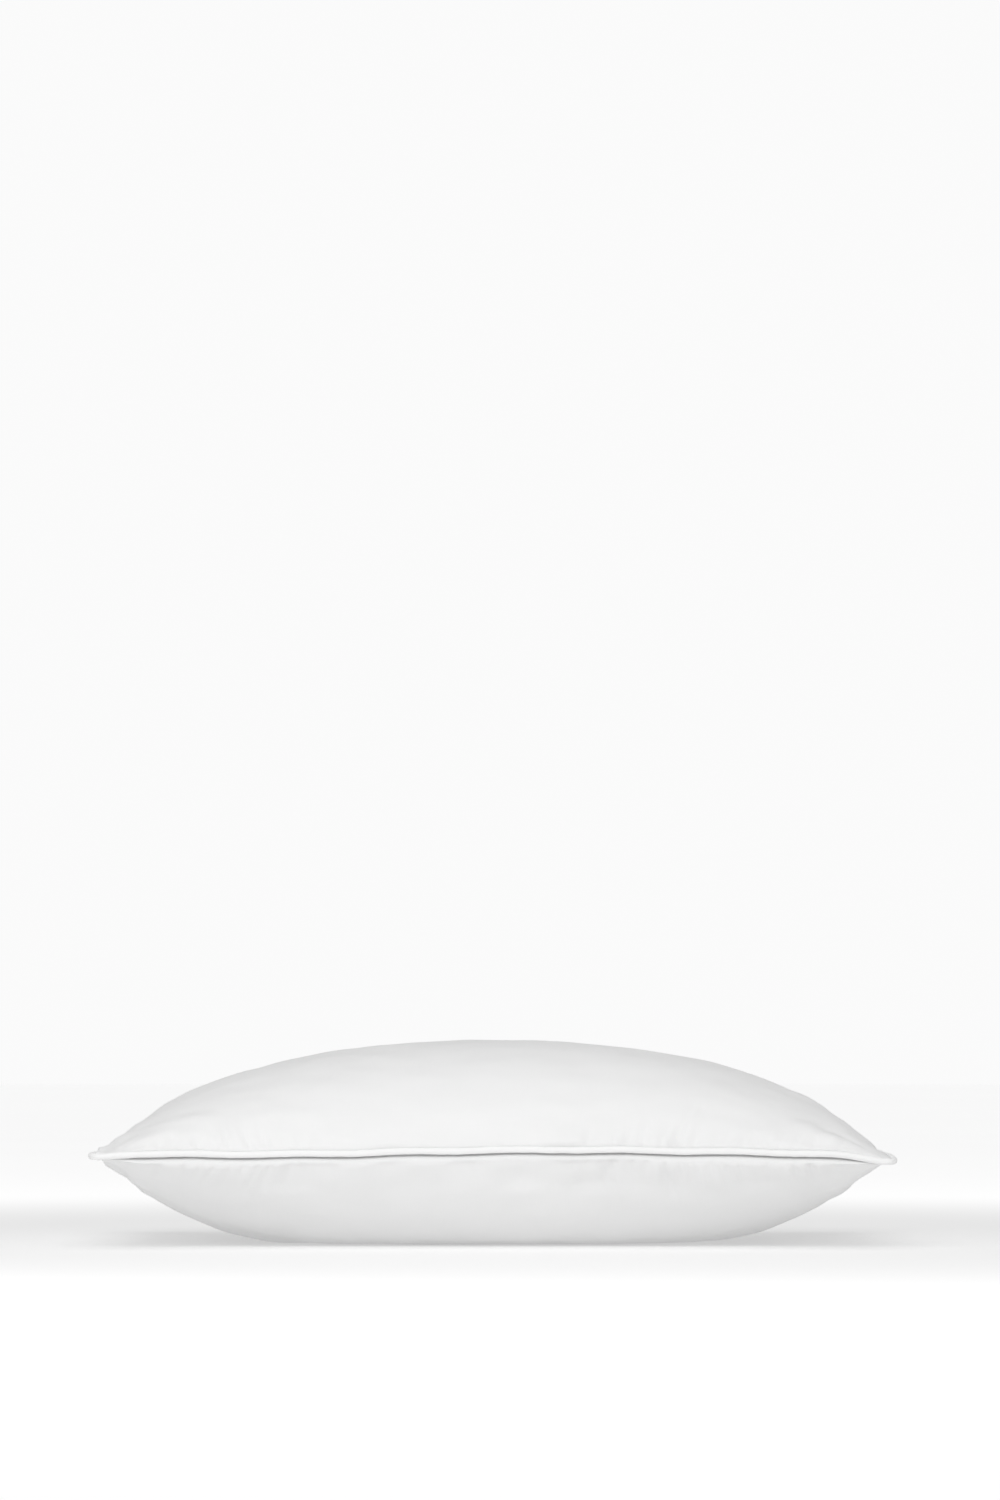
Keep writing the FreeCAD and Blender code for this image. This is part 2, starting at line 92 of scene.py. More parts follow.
LIP, LIP_REACH = 19 * MM, 66 * MM  # width and length of the overhang over the lower panel there
FLAT_CORNER = 50 * MM  # how far from a corner the panels are puffed out in full
SHORT_SIDE_SHARE = 0.4  # along a short side they take longer
PUFF_REACH = 26 * MM  # how far from the seam they are puffed out
SLIT_HALF = 115 * MM  # the filling slit in the +X side, closed from outside
SLIT_LIP = 4.5 * MM  # how far its closing seam holds the panels together
SLIT_EDGE, SLIT_LIP_EDGE = 12 * MM, 16 * MM  # and how softly that hold ends, along and across

# Form of the filled casing.
BOTTOM_DROP = 112 * MM  # below the seam, had the floor not flattened it
LONG_PULL, SHORT_PULL = 16 * MM, 9.5 * MM  # a side's middle, drawn in from its corners
LONG_FULLNESS, SHORT_FULLNESS = 2.2, 2.3
CROWN_POWER, SEAM_SOFTNESS = 0.52, 0.053
RIDGE_POINTS = 400
CORNER_ROUNDING = 9 * MM
CORNER_NUDGE = 0.29  # share of that rounding that takes the corner's point off
EAR_FLATNESS, LIP_FLATNESS, SLIT_FLATNESS = 0.92, 0.8, 0.85  # share of the crown lost there
FLOOR_SOFTNESS = 5 * MM
# The seam isn't flat: its ends and the tips of the front corners droop, and its middle rises.
LEFT_DROOP, RIGHT_DROOP = 1.8 * MM, 2.5 * MM
LEFT_DROOP_FULL = 0.625  # share of the half length at which the left droop is full
LEFT_TIP, RIGHT_TIP = (3.2 * MM, 24 * MM), (6.0 * MM, 36 * MM)  # (droop, how far along the side)
TIP_DEPTH = 40 * MM  # how far behind the front side a tip's droop reaches
MIDDLE_RISE, EXTRA_RISE = 1.8 * MM, 2.0 * MM
EXTRA_RISE_AT, EXTRA_RISE_REACH = 0.3, 0.35  # shares of the half length
RIPPLES = ((0.5 * MM, 23, 1, 1.3), (0.4 * MM, -7, 19, 0))  # (height, waves along, across, phase)
SEAM_SMOOTHING = 500  # points of the seam's line for each round of smoothing

# Each panel is a grid over its flat cut, first coarse for the simulation and then refined.
COLUMNS, ROWS = 120, 80
FINE = (2 * COLUMNS, 2 * ROWS)
GRADING = 0.25  # how much narrower the cells are beside the seam
CUT_LENGTH, CUT_WIDTH = 0.766, 0.521  # the cloth's slack size in the simulation
SIMULATED_FRAMES = 30
FOLD_CELLS = 14  # what is wider than this follows the form, and what is finer the simulation
FOLDS_KEPT = 0.4  # share of the simulated folds that the panels take
SEAM_HOLD = 6 * MM  # how far from the seam it holds the cloth still
PUCKER_SEED = 21
PUCKER_SPACING = (7 * MM, 19 * MM)
PUCKER_LENGTH, PUCKER_DEPTH = 50 * MM, 4.2 * MM
PUCKER_WIDTH = (2.8 * MM, 5.5 * MM)
SHORTEST, SHALLOWEST = 0.35, 0.3  # shares of that length and depth that the least puckers have
SLANT = 0.22  # spread of the puckers' directions, in radians
EVEN_GATHER = 0.22  # strength of the puckers where the cloth is hardly gathered
PUCKERED = (  # where it is gathered: (middle and reach as shares of a side, strength)
    (0.17, 0.09, 0.8),
    (0.70, 0.11, 1.0),
    (0.88, 0.05, 0.7),
)
SHORT_SIDE_PUCKERS = 0.35  # the short sides are hardly gathered
CORNER_FOLDS = 5
CORNER_FOLD_START, CORNER_FOLD_LENGTH = (6 * MM, 22 * MM), (45 * MM, 110 * MM)
CORNER_FOLD_WIDTH, CORNER_FOLD_DEPTH = (4 * MM, 7 * MM), (0.4 * MM, 1.1 * MM)
CREASE_WIDENING = (0.7, 0.9, 1.5)  # shares: width at its start, growth, and where growth ends
CREASE_SHOULDER, CREASE_SHOULDER_WIDTH = 0.45, 2.1  # the cloth pushed up beside its valley
CREASE_FADE_IN, CREASE_FADE_OUT = 6, 1.6  # how fast it deepens at its start and fades at its end
SOFT_DENT_CELLS, SOFT_DENT_DEPTH = 9, 0.35 * MM
LUMP_CELLS, LUMP_DEPTH, LUMP_REACH = 3.2, 0.85 * MM, 65 * MM  # soft lumps of down beside the seam
CREASE_START = 1.5 * MM  # how far from the seam these reliefs have their full height
FOLD_SEED, UNEVENNESS, UNEVEN_CELLS = 7, 1.0 * MM, 1.5  # an uneven start, from which folds grow

# Seam, piping, filling and label.
CUT_MAP = "flat_cloth"  # UV map: places on the flat cloth, in metres
ALLOWANCE_ROWS = 6
PIPING_STATIONS, PIPING_SEED, PIPING_CRUMPLE = 1300, 5, 0.09 * MM
PIPING_CRUMPLE_CELLS = (1.8, 2.6)
LAP_POINTS, ROUND_POINTS, BORE_POINTS = 6, 26, 18  # of the piping's section
PIPING_SLIT = 0.05 * MM  # half the gap between the strip's two layers
CORD_STATIONS, CORD_TURNS, STRAND_AWAY = 2400, 160, 1.25 * MM
CORD_CLEARANCE = 0.05 * MM
FILL_EDGE, FILL_RIM_ROWS, FILL_SEED = 5, 3, 3
FILL_INSET, FILL_LUMP, FILL_LUMP_CELLS, FILL_RIM_BULGE = 2.4 * MM, 0.7 * MM, 3, 2 * MM
STITCH, STITCH_POINTS = 3.5 * MM, 8
NEEDLE_HOLE = 0.2  # share of a stitch in which its thread dips
SEAM_DIP, CLOSING_DIP = 0.1 * MM, 0.9 * MM  # a seam's level in the hole, and the closing seam's dip
CLOSING_INSET = 2.4 * MM
OVERLOCK_PITCH, OVERLOCK_BITE, OVERLOCK_STATIONS = 5 * MM, 4.5 * MM, 8
OVERLOCK_AWAY = 1.3 * THREAD  # the loops' middle, from the cloth
OVERLOCK_ROUNDING, OVERLOCK_LEG = 0.5 * MM, 1.5 * MM
STRAND_SIDES, THREAD_SIDES = 7, 5
LABEL_HALF, LABEL_CLOTH = 15 * MM, 0.12 * MM
LABEL_STATIONS, LABEL_ROWS, LABEL_COLUMNS = 1600, 60, 17
LABEL_TURN = 0.6  # the angle at which its fold's first point is, in radians
LABEL_WAY = MM * np.array([  # from inside the seam down the label: (outward, down)
    (-3.2, 0.66), (-1.0, 0.66), (0.15, 0.74), (0.40, 1.08), (0.55, 1.5), (0.95, 2.2),
    (1.5, 3.4), (2.4, 7.0), (3.0, 12.0), (3.2, 20.0), (2.9, 28.0),
])
LABEL_FOLD_OUT, LABEL_FOLD_UP = 2.6 * MM, 0.6 * MM  # its folded end, above the label's lowest point
LABEL_TIGHT, LABEL_LOOSE, LABEL_OPENS = 0.07 * MM, 0.5 * MM, 6 * MM  # half gaps, and where it opens
LABEL_CURL, LABEL_WAVE, LABEL_HELD = 1.6 * MM, 0.5 * MM, 3 * MM

# Camera and light.
EYE, PITCH_UP, LENS = (0.0066, -4.5, 0.157), 3.86, 114.8  # place, degrees, and mm
FLOOR_RADIUS, FLOOR_SIDES = 60, 48
NEAR_FLOOR, FAR_FLOOR = (0.6, 0.29), (1.8, 0.54)  # (distance from the pillow, glow there): the floor's glow is painted light, and its weaker glow near the pillow is painted shade round it
WORLD_SEEN = 0.96
# The world's light: its level, what the front and the top add, and what the sides take away.
WORLD_LEVEL, WORLD_FRONT, WORLD_TOP, WORLD_SIDES = 0.60, 0.25, 0.13, 0.46
# Lamps: (name, place, target, size, energy).
FRONT_SOFTBOX = ("front_softbox", (-0.3, -1.7, 1.2), (0, -0.6, 0), (1.4, 0.8), 10)
TOP_SOFTBOX = ("top_softbox", (0.0, -0.4, 3.0), (0, 0, 0.08), (3.0, 2.0), 12)


# ---- form


def smooth(x):
    x = np.clip(x, 0, 1)
    return x * x * (3 - 2 * x)


def side_x(y):
    """How far the seam of a short side is from the middle, at y."""
    return HALF_LENGTH - SHORT_PULL * (1 - (y / HALF_WIDTH) ** 2)


def side_y(x):
    """The same for a long side, at x."""
    return HALF_WIDTH - LONG_PULL * (1 - (x / HALF_LENGTH) ** 2)


def rounded_rise(inside):
    """0 on the seam, 1 in the middle, steep at first."""
    whole = (1 + SEAM_SOFTNESS) ** CROWN_POWER - SEAM_SOFTNESS**CROWN_POWER
    inside = np.maximum(inside, 0)
    return ((inside + SEAM_SOFTNESS) ** CROWN_POWER - SEAM_SOFTNESS**CROWN_POWER) / whole


def spread(step, height, half, rise, fullness):
    """Where a step of cloth lies: by arc length on the crown's ridge, evenly along the seam."""
    u = np.linspace(0, 1, RIDGE_POINTS)
    run = run_along(np.stack([u * half, rise * rounded_rise(1 - u**fullness)], axis=-1))
    ridge = np.interp(np.abs(step), run / run[-1], u) * np.sign(step)
    return step + (ridge - step) * height


def seam_lift(x, y):
    """How high the seam is over its middle plane."""
    along, across = x / HALF_LENGTH, y / HALF_WIDTH
    behind = (HALF_WIDTH + y) / TIP_DEPTH
    lift = MIDDLE_RISE + EXTRA_RISE * np.exp(-(((along - EXTRA_RISE_AT) / EXTRA_RISE_REACH) ** 2))
    lift -= LEFT_DROOP * smooth(-along / LEFT_DROOP_FULL) + RIGHT_DROOP * smooth(along) ** 2
    for (droop, reach), from_end in ((RIGHT_TIP, HALF_LENGTH - x), (LEFT_TIP, HALF_LENGTH + x)):
        lift -= droop * np.exp(-((from_end / reach) ** 2) - behind)
    for height, waves_along, waves_across, phase in RIPPLES:
        lift += height * np.sin(along * waves_along + across * waves_across + phase)
    return lift


def seam_place(u, v):
    """Points of the surface that the seam lies in, at those shares of its half length and width."""
    y = v * side_y(u * HALF_LENGTH)
    x = u * side_x(y)
    to_corner = (HALF_LENGTH - np.abs(x) + HALF_WIDTH - np.abs(y)) / (2 * CORNER_ROUNDING)
    nudge = CORNER_NUDGE * CORNER_ROUNDING * np.maximum(0, 1 - to_corner) ** 2
    x, y = x - np.sign(x) * nudge, y - np.sign(y) * nudge
    return np.stack([x, y, SEAM_Z + seam_lift(x, y)], axis=-1)


def beside_slit(x, y):
    """1 where the closing seam of the filling slit holds the panels together, 0 elsewhere."""
    along = smooth((SLIT_HALF + SLIT_EDGE - np.abs(y)) / (2 * SLIT_EDGE))
    return along * (1 - smooth((HALF_LENGTH - SHORT_PULL - x - SLIT_LIP) / SLIT_LIP_EDGE))


def fullness(x, y):
    """0 where the panels lie flat together at the seam, at its corners and at the slit, or else 1."""
    to_corner = np.hypot(HALF_LENGTH - np.abs(x), SHORT_SIDE_SHARE * (HALF_WIDTH - np.abs(y)))
    return smooth(to_corner / FLAT_CORNER) * (1 - beside_slit(x, y))


def fold_ring(side, number, full):
    """Where a ring of the fold is: outward from the seam's line, and away from its surface."""
    flat = FOLD_AT_CORNER[number]
    puffed = (TOP_FOLD_ON_SIDE if side > 0 else BOTTOM_FOLD_ON_SIDE)[number]
    return tuple(flat[k] + (puffed[k] - flat[k]) * full for k in (0, 1))


def panel_form(step_x, step_y, side):
    """Points of a panel (side 1 is the upper one, -1 the lower) over a grid of steps of cloth."""
    depth = TOP_RISE if side > 0 else BOTTOM_DROP
    height_x = rounded_rise(1 - np.abs(step_x) ** LONG_FULLNESS)
    height_y = rounded_rise(1 - np.abs(step_y) ** SHORT_FULLNESS)
    u = spread(step_x, height_y, HALF_LENGTH, depth, LONG_FULLNESS)
    v = spread(step_y, height_x, HALF_WIDTH, depth, SHORT_FULLNESS)
    x, y, seam_z = np.moveaxis(seam_place(u, v), -1, 0)
    crown = rounded_rise(1 - np.abs(u) ** LONG_FULLNESS)
    crown *= rounded_rise(1 - np.abs(v) ** SHORT_FULLNESS)
    to_corner = np.hypot(HALF_LENGTH - np.abs(x), HALF_WIDTH - np.abs(y))
    crown *= 1 - SLIT_FLATNESS * beside_slit(x, y)
    crown *= 1 - EAR_FLATNESS * np.exp(-((to_corner / EAR) ** 2))
    if side < 0:
        from_edge = np.minimum(side_x(y) - np.abs(x), side_y(x) - np.abs(y))
        lip = np.exp(-((to_corner / LIP_REACH) ** 2) - (from_edge / LIP) ** 2)
        crown *= 1 - LIP_FLATNESS * lip
    out, foot = fold_ring(side, 0, fullness(x, y))
    z = SEAM_Z + (seam_z - SEAM_Z) * (1 - crown) + side * (foot + (depth - foot) * crown)
    x = x + out * np.sign(x) * (1 - smooth((1 - np.abs(step_x)) * FLAT_LENGTH / 2 / PUFF_REACH))
    y = y + out * np.sign(y) * (1 - smooth((1 - np.abs(step_y)) * FLAT_WIDTH / 2 / PUFF_REACH))
    if side < 0:
        z = on_floor(z)
    return np.stack([x, y, z], axis=-1)


def on_floor(z):
    """Heights with what would be below the floor laid softly on it."""
    return (z + np.sqrt(z * z + FLOOR_SOFTNESS**2)) / 2


def grid_steps(columns, rows):
    """Steps of cloth, from -1 to 1 each way, closer together near the seam."""
    steps = []
    for count in (columns, rows):
        even = np.linspace(-1, 1, count + 1)
        steps.append(even + GRADING / math.pi * np.sin(math.pi * even))
    return np.meshgrid(*steps, indexing="ij")


# ---- cloth simulation


def quads(index):
    """Faces between the neighbours in a grid of point numbers."""
    corners = [index[:-1, :-1], index[1:, :-1], index[1:, 1:], index[:-1, 1:]]
    return np.stack(corners, axis=-1).reshape(-1, 4)


def casing_grid(top, bottom):
    """One closed mesh of both panels, which share their border: points, faces, and grid indices."""
    border = np.zeros(top.shape[:2], bool)
    border[[0, -1], :] = border[:, [0, -1]] = True
    upper = np.arange(border.size).reshape(border.shape)
    lower = upper.copy()
    lower[~border] = border.size + np.arange((~border).sum())
    points = np.concatenate([top.reshape(-1, 3), bottom[~border]])
    faces = np.concatenate([quads(upper), quads(lower)[:, ::-1]])
    return points, faces, upper, lower, border


def inflate(top, bottom, cut):
    """Fills the casing with pressure, from its form, with the flat cut as the cloth's own size."""
    points, faces, upper, lower, border = casing_grid(top, bottom)
    flat = np.zeros_like(points)
    start = points.copy()
    random = np.random.default_rng(FOLD_SEED)
    for index in (upper, lower):
        uneven = blurred(random.normal(0, 1, index.shape), UNEVEN_CELLS)
        start[index, 2] += uneven * UNEVENNESS / uneven.std()
    start[upper[border]] = points[upper[border]]
    flat[upper.ravel(), :2] = cut.reshape(-1, 2)
    flat[lower[~border], :2] = cut[~border]
    mesh = bpy.data.meshes.new("casing_simulation")
    mesh.from_pydata(start.tolist(), [], faces.tolist())
    casing = bpy.data.objects.new("casing_simulation", mesh)
    bpy.context.collection.objects.link(casing)
    casing.vertex_groups.new(name="seam").add(upper[border].tolist(), 1.0, "ADD")
    casing.shape_key_add(name="filled")
    cut_shape = casing.shape_key_add(name="flat")
    cut_shape.data.foreach_set("co", flat.astype(np.float32).ravel())
    cloth = casing.modifiers.new("cloth", "CLOTH")
    cloth.collision_settings.use_collision = False
    cloth.point_cache.frame_end = SIMULATED_FRAMES
    settings = cloth.settings
    settings.rest_shape_key = cut_shape
    settings.vertex_group_mass = "seam"
    settings.quality = 6
    settings.mass = 0.15
    settings.tension_stiffness = settings.compression_stiffness = 40
    settings.shear_stiffness = 20
    settings.bending_stiffness = 5
    settings.air_damping = 3
    settings.use_pressure = True
    settings.uniform_pressure_force = 3.0
    settings.effector_weights.gravity = 0
    for number in range(1, SIMULATED_FRAMES + 1):
        bpy.context.scene.frame_set(number)
    evaluated = casing.evaluated_get(bpy.context.evaluated_depsgraph_get())
    found = np.zeros(len(points) * 3, np.float32)
    evaluated.data.vertices.foreach_get("co", found)
    found = found.reshape(-1, 3).astype(float)
    bpy.data.objects.remove(casing)
    bpy.data.meshes.remove(mesh)
    bpy.context.scene.frame_set(1)
    return found[upper], found[lower]


def blurred(field, cells, mode="reflect"):
    """A field over the grid, smoothed by a Gaussian that wide, in cells, each way."""
    for axis, width in enumerate(np.broadcast_to(cells, 2)):
        reach = int(3 * width)
        kernel = np.exp(-0.5 * (np.arange(-reach, reach + 1) / width) ** 2)
        pad = [(reach, reach) if a == axis else (0, 0) for a in range(field.ndim)]
        wide = np.pad(field, pad, mode=mode)
        field = np.apply_along_axis(np.convolve, axis, wide, kernel / kernel.sum(), "valid")
    return field


def finer(field):
    """The field on a grid of twice as many cells each way, through smooth curves."""
    for _ in range(2):
        ends = 2 * field[:1] - field[1:2], 2 * field[-1:] - field[-2:-1]
        wide = np.concatenate([ends[0], field, ends[1]])
        middle = (9 * (wide[1:-2] + wide[2:-1]) - wide[:-3] - wide[3:]) / 16
        longer = np.empty((2 * len(field) - 1, *field.shape[1:]))
        longer[::2], longer[1::2] = field, middle
        field = longer.swapaxes(0, 1)
    return field


def unit(vectors):
    """The vectors, each with a length of 1."""
    return vectors / np.linalg.norm(vectors, axis=-1, keepdims=True)


def grid_normals(points, side):
    """Unit vectors that point out of a panel, at each point of its grid."""
    along, across = np.gradient(points, axis=0), np.gradient(points, axis=1)
    return unit(np.cross(along, across) * side)


def crease(x, y, start, angle, length, width, depth):
    """A valley in the cloth that opens and fades along its length."""
    across_x, across_y = x - start[0], y - start[1]
    along = (across_x * math.cos(angle) + across_y * math.sin(angle)) / length
    aside = across_y * math.cos(angle) - across_x * math.sin(angle)
    start_width, growth, grown = CREASE_WIDENING
    wide = width * (start_width + growth * np.clip(along, 0, grown))
    fade = smooth(along * CREASE_FADE_IN + 0.5)
    fade *= np.exp(-CREASE_FADE_OUT * np.maximum(along, 0) ** 2)
    shoulder = CREASE_SHOULDER * np.exp(-((aside / wide / CREASE_SHOULDER_WIDTH) ** 2))
    return -depth * fade * (np.exp(-((aside / wide) ** 2)) - shoulder)


def creases(x, y, from_seam, side):
    """Height of the small puckers along the seam and the drag folds at the corners."""
    random = np.random.default_rng(PUCKER_SEED + side)
    height = np.zeros_like(x)
    half_x, half_y = FLAT_LENGTH / 2, FLAT_WIDTH / 2
    for corner_x, corner_y, inward in (
        (-half_x, -half_y, 0),
        (half_x, -half_y, math.pi / 2),
        (half_x, half_y, math.pi),
        (-half_x, half_y, -math.pi / 2),
    ):
        # From this corner anticlockwise along one side, and the drag folds of the corner itself.
        ahead = np.array([math.cos(inward), math.sin(inward)])
        side_length = abs(ahead @ (FLAT_LENGTH, FLAT_WIDTH))
        at = 0.0
        while at < side_length:
            at += random.uniform(*PUCKER_SPACING)
            start = np.array([corner_x, corner_y]) + ahead * at
            strength = EVEN_GATHER
            for middle, reach, gathered in PUCKERED:
                strength += gathered * math.exp(-(((at / side_length - middle) / reach) ** 2))
            if side_length < FLAT_LENGTH:
                strength *= SHORT_SIDE_PUCKERS
            angle = inward + math.pi / 2 + random.normal(0, SLANT)
            share = SHORTEST + (1 - SHORTEST) * random.uniform(0, 1) * strength
            width = random.uniform(*PUCKER_WIDTH)
            depth = random.uniform(SHALLOWEST, 1) * strength * PUCKER_DEPTH
            height += crease(x, y, start, angle, share * PUCKER_LENGTH, width, depth)
        for number in range(CORNER_FOLDS):
            angle = inward + math.pi / 2 * (number + random.uniform(0.2, 0.8)) / CORNER_FOLDS
            reach = random.uniform(*CORNER_FOLD_START)
            start = (corner_x + reach * math.cos(angle), corner_y + reach * math.sin(angle))
            length = random.uniform(*CORNER_FOLD_LENGTH)
            width = random.uniform(*CORNER_FOLD_WIDTH)
            depth = random.uniform(*CORNER_FOLD_DEPTH)
            height += crease(x, y, start, angle, length, width, depth)
    soft = blurred(random.normal(0, 1, x.shape), SOFT_DENT_CELLS)
    height += SOFT_DENT_DEPTH * soft / soft.std()
    lumps = blurred(random.normal(0, 1, x.shape), LUMP_CELLS)
    height += LUMP_DEPTH * lumps / lumps.std() * np.exp(-((from_seam / LUMP_REACH) ** 2))
    return height * smooth(from_seam / CREASE_START)


def filled_panels():
    """Points of the upper and the lower panel on the fine grid, with the simulation's folds."""
    step_x, step_y = grid_steps(COLUMNS, ROWS)
    cut = np.stack([step_x * CUT_LENGTH / 2, step_y * CUT_WIDTH / 2], axis=-1)
    forms = [panel_form(step_x, step_y, side) for side in (1, -1)]
    middle = (forms[0][:, :, 2] + forms[1][:, :, 2]) / 2
    for form in forms:
        for edge in (np.s_[0, :], np.s_[-1, :], np.s_[:, 0], np.s_[:, -1]):
            form[edge][..., 2] = middle[edge]
    folds = [np.zeros_like(form) for form in forms]
    for fold, form, found in zip(folds, forms, inflate(*forms, cut)):
        moved = found - form
        fold += moved - blurred(moved, FOLD_CELLS)
    fine_x, fine_y = grid_steps(*FINE)
    flat_x, flat_y = fine_x * FLAT_LENGTH / 2, fine_y * FLAT_WIDTH / 2
    from_seam = np.minimum(FLAT_LENGTH / 2 - np.abs(flat_x), FLAT_WIDTH / 2 - np.abs(flat_y))
    kept = FOLDS_KEPT * smooth(from_seam / SEAM_HOLD)[:, :, None]
    panels = []
    for side, fold in zip((1, -1), folds):
        points = panel_form(fine_x, fine_y, side) + finer(fold) * kept
        points += creases(flat_x, flat_y, from_seam, side)[:, :, None] * grid_normals(points, side)
        points[:, :, 2] = np.maximum(points[:, :, 2], 0)
        panels.append(points)
    return panels


# ---- the seam's line


def seam_loop(grid):
    """The border of a grid, anticlockwise from its front left corner."""
    return np.concatenate([grid[:-1, 0], grid[-1, :-1], grid[:0:-1, -1], grid[0, :0:-1]])


def run_along(line):
    """How far along an open line each of its points is."""
    return np.concatenate([[0], np.cumsum(np.linalg.norm(np.diff(line, axis=0), axis=1))])


def sampled(at, known, points):
    """The points' coordinates, interpolated from their known places to those asked for."""
    return np.stack([np.interp(at, known, column) for column in points.T], axis=-1)


def resampled(loop, count):
    """Evenly spaced points of a closed line."""
    closed = np.concatenate([loop, loop[:1]])
    run = run_along(closed)
    return sampled(np.linspace(0, run[-1], count, endpoint=False), run, closed)


def outward_of(loop):
    """Level unit vectors that point out of a closed line that runs anticlockwise."""
    ahead = np.roll(loop, -1, axis=0) - np.roll(loop, 1, axis=0)
    return unit(np.stack([ahead[:, 1], -ahead[:, 0], np.zeros(len(loop))], axis=-1))


def from_seam_line(line, out, up):
    """The seam's line moved up, and outward, or inward where out is negative."""
    out = np.broadcast_to(out, len(line))[:, None]
    moved = line + outward_of(line) * np.maximum(out, 0)
    moved[:, :2] *= 1 + np.minimum(out, 0) / (HALF_LENGTH, HALF_WIDTH)
    moved[:, 2] += up
    return moved


def seam_line(count):
    """The seam's own line, evenly divided, with its corners rounded."""
    line = resampled(seam_loop(seam_place(*grid_steps(4 * COLUMNS, 4 * ROWS))), count)
    for _ in range(round(count / SEAM_SMOOTHING)):
        line = (np.roll(line, 1, axis=0) + 2 * line + np.roll(line, -1, axis=0)) / 4
    return line


# ---- meshes


def add_object(name, points, faces, uv=None, closed=True):
    """A smooth mesh object. uv is a place on the flat cloth, in metres, for each point."""
    mesh = bpy.data.meshes.new(name)
    mesh.from_pydata(np.asarray(points).tolist(), [], [list(face) for face in faces])
    if uv is not None:
        layer = mesh.uv_layers.new(name=CUT_MAP)
        corner = np.zeros(len(mesh.loops), np.int32)
        mesh.loops.foreach_get("vertex_index", corner)
        layer.data.foreach_set("uv", np.asarray(uv, np.float32)[corner].ravel())
    if closed:
        shape = bmesh.new()
        shape.from_mesh(mesh)
        bmesh.ops.recalc_face_normals(shape, faces=shape.faces)
        shape.to_mesh(mesh)
        shape.free()
    mesh.polygons.foreach_set("use_smooth", [True] * len(mesh.polygons))
    piece = bpy.data.objects.new(name, mesh)
    bpy.context.collection.objects.link(piece)
    return piece


def thicken(piece, thickness):
    """Makes a closed shell of a cloth surface, inward from it."""
    solid = piece.modifiers.new("thickness", "SOLIDIFY")
    solid.thickness = thickness
    solid.offset = -1
    graph = bpy.context.evaluated_depsgraph_get()
    finished = bpy.data.meshes.new_from_object(piece.evaluated_get(graph))
    piece.modifiers.clear()
    thin, piece.data = piece.data, finished
    bpy.data.meshes.remove(thin)
    finished.name = piece.name


def wrapped(index, axis):
    """A grid of point numbers, with its first row or column again at the end."""
    return np.concatenate([index, np.take(index, [0], axis=axis)], axis=axis)


def numbers(first, *shape):
    """A grid of point numbers, counted on from the first."""
    return first + np.arange(math.prod(shape)).reshape(shape)


def swept(path, radius, sides, closed, first):
    """Points, faces and flat places of a round tube along a path. Its point numbers start at first."""
    count = len(path)
    if closed:
        ahead = np.roll(path, -1, axis=0) - np.roll(path, 1, axis=0)
    else:
        ahead = np.gradient(path, axis=0)
    ahead = unit(ahead)
    aside = np.zeros_like(ahead)
    aside[0] = unit(np.cross(ahead[0], (0.0, 0.0, 1.0)))
    for number in range(1, count):
        aside[number] = unit(aside[number - 1] - ahead[number] * (aside[number - 1] @ ahead[number]))
    upward = np.cross(aside, ahead)
    turn = np.zeros(count)
    if closed:
        end = math.atan2(aside[-1] @ upward[0], aside[-1] @ aside[0])
        turn = -end * np.arange(count) / count
    angles = np.arange(sides) * 2 * math.pi / sides + turn[:, None]
    ring = aside[:, None] * np.cos(angles)[..., None] + upward[:, None] * np.sin(angles)[..., None]
    points = path[:, None] + ring * radius
    index = numbers(first, count, sides)
    grid = wrapped(index, 1)
    faces = list(quads(wrapped(grid, 0) if closed else grid))
    if not closed:
        faces += [index[0], index[-1][::-1]]
    around = np.arange(sides) * 2 * math.pi * radius / sides
    flat = np.stack(np.broadcast_arrays(run_along(path)[:, None], around), -1)
    return points.reshape(-1, 3), faces, flat.reshape(-1, 2)


def add_tubes(name, paths, radius, sides, closed=False):
    """One object of round tubes, each along its own path."""
    points, faces, flat = [], [], []
    first = 0
    for path in paths:
        tube = swept(path, radius, sides, closed, first)
        first += len(tube[0])
        points.append(tube[0])
        faces += tube[1]
        flat.append(tube[2])
    return add_object(name, np.concatenate(points), faces, np.concatenate(flat))


# ---- pieces


def casing_panel(name, points, side):
    """A panel's cloth: its crown, the fold at the seam, and the allowance inside the seam."""
    step_x, step_y = grid_steps(*FINE)
    index = numbers(0, *points.shape[:2])
    border = seam_loop(index)
    flat = np.stack([step_x * FLAT_LENGTH / 2, step_y * FLAT_WIDTH / 2], axis=-1)
    line = seam_loop(seam_place(step_x, step_y))
    full = fullness(line[:, 0], line[:, 1])
    rings = [fold_ring(side, number, full) for number in range(1, len(FOLD_AT_CORNER))]
    inward = np.linspace(BOTTOM_FOLD_ON_SIDE[-1, 0], RAW_EDGE, ALLOWANCE_ROWS + 1)[1:]
    rings += [(out, ALLOWANCE_INSIDE) for out in inward]
    all_points, all_flat = [points.reshape(-1, 3)], [flat.reshape(-1, 2)]
    before, along = seam_loop(points), np.zeros((len(line), 1))
    for out, away in rings:
        ring = from_seam_line(line, out, side * away)
        along += np.linalg.norm(ring - before, axis=1, keepdims=True)
        before = ring
        all_points.append(ring)
        all_flat.append(seam_loop(flat) * (1 + along / (FLAT_LENGTH / 2, FLAT_WIDTH / 2)))
    ring_index = np.concatenate([border[None], numbers(index.size, len(rings), len(border))])
    faces = np.concatenate([quads(index), quads(wrapped(ring_index, 1))])
    if side < 0:
        faces = faces[:, ::-1]
    uv = np.concatenate(all_flat)
    panel = add_object(name, np.concatenate(all_points), faces, uv, closed=False)
    thicken(panel, CLOTH)
    return panel


